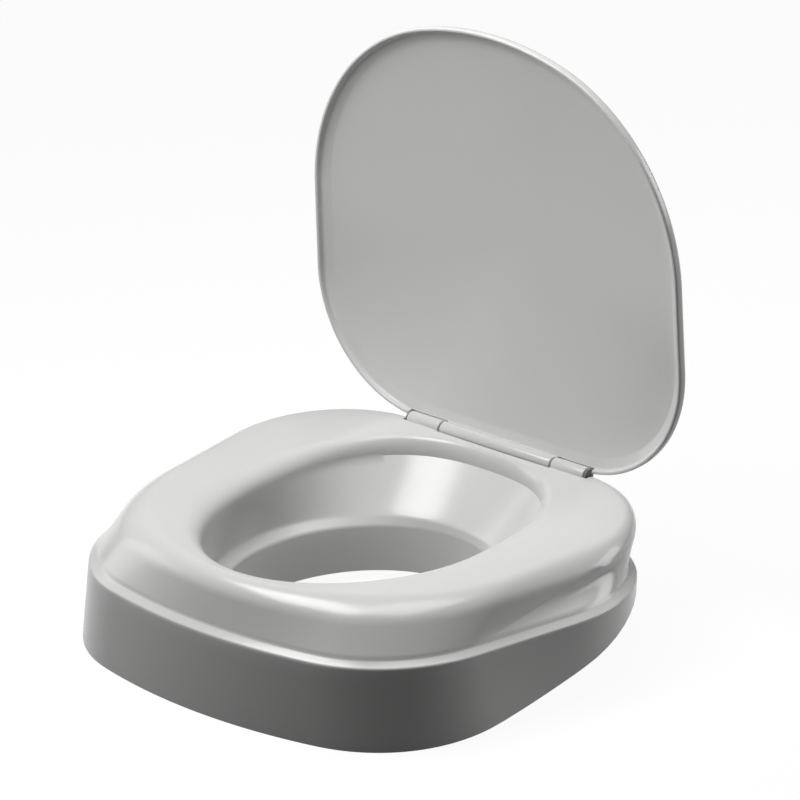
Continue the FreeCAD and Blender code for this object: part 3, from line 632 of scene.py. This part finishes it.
lid_plastic = moulded_plastic("lid_plastic", (0.80, 0.80, 0.79), 0.2)
rows = lid_rows()
lid = closed(skin("lid_dish", rows), rows)
knuckle = rod(
    "knuckle", KNUCKLE_RADIUS, (-KNUCKLE_END, HINGE_Y, HINGE_Z), (KNUCKLE_END, HINGE_Y, HINGE_Z), 0.6,
)
lid = combined(lid, knuckle, "UNION")
for side in (-1, 1):
    room = rod(
        "room", KNUCKLE_RADIUS + HINGE_CLEARANCE,
        (side * KNUCKLE_END, HINGE_Y, HINGE_Z), (side * POCKET_END, HINGE_Y, HINGE_Z),
    )
    lid = combined(lid, room, "DIFFERENCE")
    bore = rod(
        "bore", BORE_RADIUS,
        (side * (KNUCKLE_END - BORE_DEPTH), HINGE_Y, HINGE_Z), (side * LUG_START, HINGE_Y, HINGE_Z),
    )
    lid = combined(lid, bore, "DIFFERENCE")
finish_with(smoothed(lid, 40), lid_plastic)
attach(lid, "lid")
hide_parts("lid")

# Hinge pins: a headed nylon pin is pushed through each lug from outside into the end of the
# lid's knuckle, and stays there by its fit in the lug.
PIN_RADIUS = 3.0
PIN_HEAD = (4.5, 2.0)
pin_plastic = satin("pin_plastic", (0.23, 0.23, 0.225), 0.42, 1100, 0.1)
for word, side in (("left", -1), ("right", 1)):
    name = "hinge_pin_" + word
    low, high = (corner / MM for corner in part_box(name))
    ends = sorted((abs(low.x), abs(high.x)))
    inner, outer = side * ends[0], side * ends[1]
    shoulder = outer - side * PIN_HEAD[1]
    pin = rod(name + "_turned", PIN_RADIUS, (inner, HINGE_Y, HINGE_Z), (outer - side, HINGE_Y, HINGE_Z), 0.5)
    head = rod("head", PIN_HEAD[0], (shoulder, HINGE_Y, HINGE_Z), (outer, HINGE_Y, HINGE_Z), 0.6)
    pin = combined(pin, head, "UNION")
    dimple = rod(
        "dimple", PIN_RADIUS / 2, (outer - side / 2, HINGE_Y, HINGE_Z), (outer + side, HINGE_Y, HINGE_Z),
    )
    pin = combined(pin, dimple, "DIFFERENCE")
    finish_with(smoothed(pin), pin_plastic)
    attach(pin, "base")
    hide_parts(name)

# Bracket nuts: two square nuts of zinc-plated steel. Each is slid sideways into its boss, which
# keeps it from turning, and takes the end of a clamp screw.
NUT_BORE = 3.05


def plated_steel(name):
    """Zinc-plated steel: fine turning rings, a clouded shine and a faint grain."""
    material = bpy.data.materials.new(name)
    material.use_nodes = True
    nodes, links = material.node_tree.nodes, material.node_tree.links
    shader = nodes["Principled BSDF"]
    shader.inputs["Metallic"].default_value = 1.0
    place = nodes.new("ShaderNodeTexCoord")
    cloud = nodes.new("ShaderNodeTexNoise")
    cloud.inputs["Scale"].default_value = 220
    cloud.inputs["Detail"].default_value = 5
    links.new(place.outputs["Object"], cloud.inputs["Vector"])
    tint = nodes.new("ShaderNodeValToRGB")
    tint.color_ramp.elements[0].color = (0.42, 0.42, 0.41, 1)
    tint.color_ramp.elements[1].color = (0.68, 0.68, 0.66, 1)
    links.new(cloud.outputs["Fac"], tint.inputs["Fac"])
    links.new(tint.outputs["Color"], shader.inputs["Base Color"])
    shine = nodes.new("ShaderNodeMapRange")
    shine.inputs["To Min"].default_value = 0.24
    shine.inputs["To Max"].default_value = 0.46
    links.new(cloud.outputs["Fac"], shine.inputs["Value"])
    links.new(shine.outputs["Result"], shader.inputs["Roughness"])
    scratches = nodes.new("ShaderNodeTexWave")
    scratches.bands_direction = "Z"
    scratches.inputs["Scale"].default_value = 900
    scratches.inputs["Distortion"].default_value = 2.5
    links.new(place.outputs["Object"], scratches.inputs["Vector"])
    bump = nodes.new("ShaderNodeBump")
    bump.inputs["Strength"].default_value = 0.12
    bump.inputs["Distance"].default_value = 0.0002
    links.new(scratches.outputs["Fac"], bump.inputs["Height"])
    links.new(bump.outputs["Normal"], shader.inputs["Normal"])
    return material


steel = plated_steel("steel")
for word, side in (("left", -1), ("right", 1)):
    name = "bracket_nut_" + word
    low, high = (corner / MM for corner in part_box(name))
    nut = block(name + "_cut", low, high, 0.45)
    bore = rod("bore", NUT_BORE, (side * screw_x, 0, low.z - WALL), (side * screw_x, 0, high.z + WALL))
    nut = combined(nut, bore, "DIFFERENCE")
    finish_with(smoothed(nut), steel)
    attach(nut, "base")
    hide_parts(name)

# Brackets: an L-shaped moulded arm on each side slides outwards in the rails until its pad
# grips the inside of the bowl. Its plate has a long slot that runs past the screw.
LEG = 4.0
PLATE = 3.0
SLOT_HALF = 3.3
SLOT_TRAVEL = 14.0
EASED = 0.6
bracket_plastic = satin("bracket_plastic", (0.62, 0.62, 0.60), 0.4, 1000, 0.12)
for word, side in (("left", -1), ("right", 1)):
    name = "bracket_" + word
    low, high = (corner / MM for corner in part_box(name))
    inner, outer = side * min(abs(low.x), abs(high.x)), side * max(abs(low.x), abs(high.x))
    arm = block(name + "_moulded", (inner, low.y, low.z), (inner + side * LEG, high.y, high.z), EASED)
    plate = block("plate", (inner, low.y, high.z - PLATE), (outer, high.y, high.z), EASED)
    arm = combined(arm, plate, "UNION")
    for x in (screw_x - SLOT_TRAVEL, screw_x):
        slot_end = rod("slot", SLOT_HALF, (side * x, 0, high.z - 2 * PLATE), (side * x, 0, high.z + PLATE))
        arm = combined(arm, slot_end, "DIFFERENCE")
    slot = block(
        "slot", (side * (screw_x - SLOT_TRAVEL), -SLOT_HALF, high.z - 2 * PLATE),
        (side * screw_x, SLOT_HALF, high.z + PLATE),
    )
    arm = combined(arm, slot, "DIFFERENCE")
    finish_with(smoothed(arm), bracket_plastic)
    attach(arm, word + "_bracket")
    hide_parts(name)

# Bracket pads: a moulded rubber block with level grip grooves, bonded to the outer face of
# each arm's leg, where it presses on the inside of the bowl.
for word, side in (("left", -1), ("right", 1)):
    name = "bracket_pad_" + word
    low, high = (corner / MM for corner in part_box(name))
    pad = block(name + "_grip", low, high, EASED)
    face = side * max(abs(low.x), abs(high.x))
    z = low.z + GROOVE_STEP
    while z < high.z - GROOVE_STEP / 2:
        groove = block(
            "groove", (face - side * GROOVE[1], low.y - WALL, z - GROOVE[0] / 2),
            (face + side * WALL, high.y + WALL, z + GROOVE[0] / 2),
        )
        pad = combined(pad, groove, "DIFFERENCE")
        z += GROOVE_STEP
    finish_with(smoothed(pad), rubber)
    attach(pad, word + "_bracket")
    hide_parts(name)

# Washers: stamped discs of zinc-plated steel. Each lies between a knob's hub and its
# bracket's plate, and spreads the knob's pressure.
for word, side in (("left", -1), ("right", 1)):
    name = "bracket_washer_" + word
    low, high = (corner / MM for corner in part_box(name))
    axis_x = side * screw_x
    washer = rod(name + "_stamped", (high.x - low.x) / 2, (axis_x, 0, low.z), (axis_x, 0, high.z), 0.25, 96)
    bore = rod("bore", SLOT_HALF, (axis_x, 0, low.z - WALL), (axis_x, 0, high.z + WALL))
    washer = combined(washer, bore, "DIFFERENCE")
    finish_with(smoothed(washer), steel)
    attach(washer, word + "_knob")
    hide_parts(name)

# Screws: threaded steel rods moulded into the knobs, which run up through the bracket's slot
# and the washer into the nut.
THREAD_PITCH = 1.0
THREAD_DEPTH = 0.5
THREAD_STEPS = 6
THREAD_COLUMNS = 36


def threaded_rows(x, radius, low, high):
    turns = np.linspace(0, 1, THREAD_COLUMNS, endpoint=False)
    angles = 2 * math.pi * turns
    rows = []
    for height in np.arange(low, high + 1e-6, THREAD_PITCH / THREAD_STEPS):
        wave = np.abs(((height - low) / THREAD_PITCH - turns) % 1 * 2 - 1)
        blunt = np.clip((high - height) / THREAD_PITCH, 0, 1)
        crest = radius - THREAD_DEPTH * wave - THREAD_DEPTH * (1 - blunt) * (1 - wave)
        level = np.full(THREAD_COLUMNS, height)
        rows.append(np.c_[x + crest * np.cos(angles), crest * np.sin(angles), level])
    return rows


for word, side in (("left", -1), ("right", 1)):
    name = "bracket_screw_" + word
    low, high = (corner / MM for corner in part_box(name))
    rows = threaded_rows(side * screw_x, (high.x - low.x) / 2, low.z, high.z)
    screw = closed(skin(name + "_threaded", rows), rows, 2)
    finish_with(smoothed(screw, 50), steel)
    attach(screw, word + "_knob")
    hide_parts(name)

# Hand knobs: dark moulded discs with eight finger grooves and a hub that bears on the washer.
# Turning one frees or locks its bracket.
KNOB_RADIUS = 15.0
KNOB_DISC = 14.0
HUB_RADIUS = 8.5
KNOB_FLOOR = 3.0
FINGER = (3.0, 16.0)
FINGERS = 8
FACE_RECESS = (9.5, 1.2)
knob_plastic = satin("knob_plastic", (0.075, 0.078, 0.082), 0.45, 1300, 0.2, 0.4)
for word, side in (("left", -1), ("right", 1)):
    name = "bracket_knob_" + word
    low, high = (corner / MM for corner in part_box(name))
    axis_x = side * screw_x
    knob = rod(name + "_moulded", KNOB_RADIUS, (axis_x, 0, low.z), (axis_x, 0, low.z + KNOB_DISC), 0, 128)
    for number in range(FINGERS):
        angle = 2 * math.pi * number / FINGERS
        x, y = axis_x + FINGER[1] * math.cos(angle), FINGER[1] * math.sin(angle)
        groove = rod("groove", FINGER[0], (x, y, low.z - WALL), (x, y, low.z + KNOB_DISC + WALL))
        knob = combined(knob, groove, "DIFFERENCE")
    recess_top = (axis_x, 0, low.z + FACE_RECESS[1])
    recess = rod("recess", FACE_RECESS[0], (axis_x, 0, low.z - WALL), recess_top, 0, 96)
    knob = combined(knob, recess, "DIFFERENCE")
    hub = rod("hub", HUB_RADIUS, (axis_x, 0, low.z + KNOB_FLOOR), (axis_x, 0, high.z), 0, 96)
    knob = combined(knob, hub, "UNION")
    bore = rod("bore", PIN_RADIUS, (axis_x, 0, low.z + KNOB_FLOOR), (axis_x, 0, high.z + WALL))
    knob = combined(knob, bore, "DIFFERENCE")
    applied(knob, "BEVEL", width=0.7 * MM, segments=3, limit_method="ANGLE", angle_limit=math.radians(50))
    finish_with(smoothed(knob, 40), knob_plastic)
    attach(knob, word + "_knob")
    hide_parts(name)

# Floor, light and camera: a pale floor that looks white, a broad lamp straight above, a small
# one over the front of the seat, a weak one at the left and one behind at the right.
FLOOR_GLOW = (0.0, 0.94)
WORLD_LEVEL = (0.02, 1.0)


def seen_directly(nodes, links, levels):
    """The first level for the light on the pieces, the second for what is seen, also in gloss."""
    rays = nodes.new("ShaderNodeLightPath")
    total = rays.outputs["Is Camera Ray"]
    for kind in ("Is Glossy Ray", "Is Transmission Ray"):
        either = nodes.new("ShaderNodeMath")
        either.operation = "MAXIMUM"
        links.new(total, either.inputs[0])
        links.new(rays.outputs[kind], either.inputs[1])
        total = either.outputs[0]
    level = nodes.new("ShaderNodeMapRange")
    level.inputs["To Min"].default_value, level.inputs["To Max"].default_value = levels
    links.new(total, level.inputs["Value"])
    return level.outputs["Result"]


bpy.ops.object.select_all(action="DESELECT")
bpy.ops.mesh.primitive_plane_add(size=30)
floor = bpy.context.object
floor.name = "floor"
paint = bpy.data.materials.new("floor_paint")
paint.use_nodes = True
nodes, links = paint.node_tree.nodes, paint.node_tree.links
shader = nodes["Principled BSDF"]
shader.inputs["Base Color"].default_value = (0.08, 0.08, 0.08, 1)
shader.inputs["Roughness"].default_value = 1.0
shader.inputs["Specular IOR Level"].default_value = 0.0
shader.inputs["Emission Color"].default_value = (1, 1, 1, 1)
links.new(seen_directly(nodes, links, FLOOR_GLOW), shader.inputs["Emission Strength"])
finish_with(floor, paint)

world = bpy.data.worlds.new("studio")
bpy.context.scene.world = world
world.use_nodes = True
nodes, links = world.node_tree.nodes, world.node_tree.links
background = nodes["Background"]
links.new(seen_directly(nodes, links, WORLD_LEVEL), background.inputs["Strength"])


def lamp(name, place, target, size, power):
    data = bpy.data.lights.new(name, "AREA")
    data.shape = "RECTANGLE"
    data.size, data.size_y = size
    data.energy = power
    light = bpy.data.objects.new(name, data)
    bpy.context.scene.collection.objects.link(light)
    light.location = place
    aim = Vector(target) - Vector(place)
    light.rotation_euler = aim.to_track_quat("-Z", "Y").to_euler()
    return light


SEAT = (0, 0, 0.15)
lamp("top", (0.0, 0.1, 1.4), SEAT, (0.7, 0.7), 6.8)
lamp("over_front", (-0.26, -0.22, 0.8), SEAT, (0.35, 0.35), 3.7)
lamp("left", (-1.6, -0.3, 0.5), SEAT, (0.7, 1.0), 4)
lamp("behind_right", (1.2, 1.6, 0.9), SEAT, (0.9, 0.9), 13)

CAMERA_TURN, CAMERA_RISE, CAMERA_ROLL = (math.radians(angle) for angle in (44.0, 22.7, -2.5))
CAMERA_DISTANCE, CAMERA_DROP = 4.7612, 0.026
CAMERA_SHIFT = (0.0301, 0.1832)
CAMERA_LENS = 308.169
back = Vector((
    math.sin(CAMERA_TURN) * math.cos(CAMERA_RISE),
    -math.cos(CAMERA_TURN) * math.cos(CAMERA_RISE),
    math.sin(CAMERA_RISE),
))
right = Vector((math.cos(CAMERA_TURN), math.sin(CAMERA_TURN), 0))
up = back.cross(right)
place = back * CAMERA_DISTANCE + right * CAMERA_SHIFT[0] + up * CAMERA_SHIFT[1] - Vector((0, 0, CAMERA_DROP))
across = right * math.cos(CAMERA_ROLL) + up * math.sin(CAMERA_ROLL)
upwards = -right * math.sin(CAMERA_ROLL) + up * math.cos(CAMERA_ROLL)
camera_data = bpy.data.cameras.new("camera")
camera_data.sensor_width = 36
camera_data.lens = CAMERA_LENS
camera_data.clip_end = 50
camera = bpy.data.objects.new("camera", camera_data)
bpy.context.scene.collection.objects.link(camera)
camera.matrix_world = Matrix((
    (across.x, upwards.x, back.x, place.x),
    (across.y, upwards.y, back.y, place.y),
    (across.z, upwards.z, back.z, place.z),
    (0, 0, 0, 1),
))
bpy.context.scene.camera = camera
bpy.context.scene.view_settings.view_transform = "Standard"
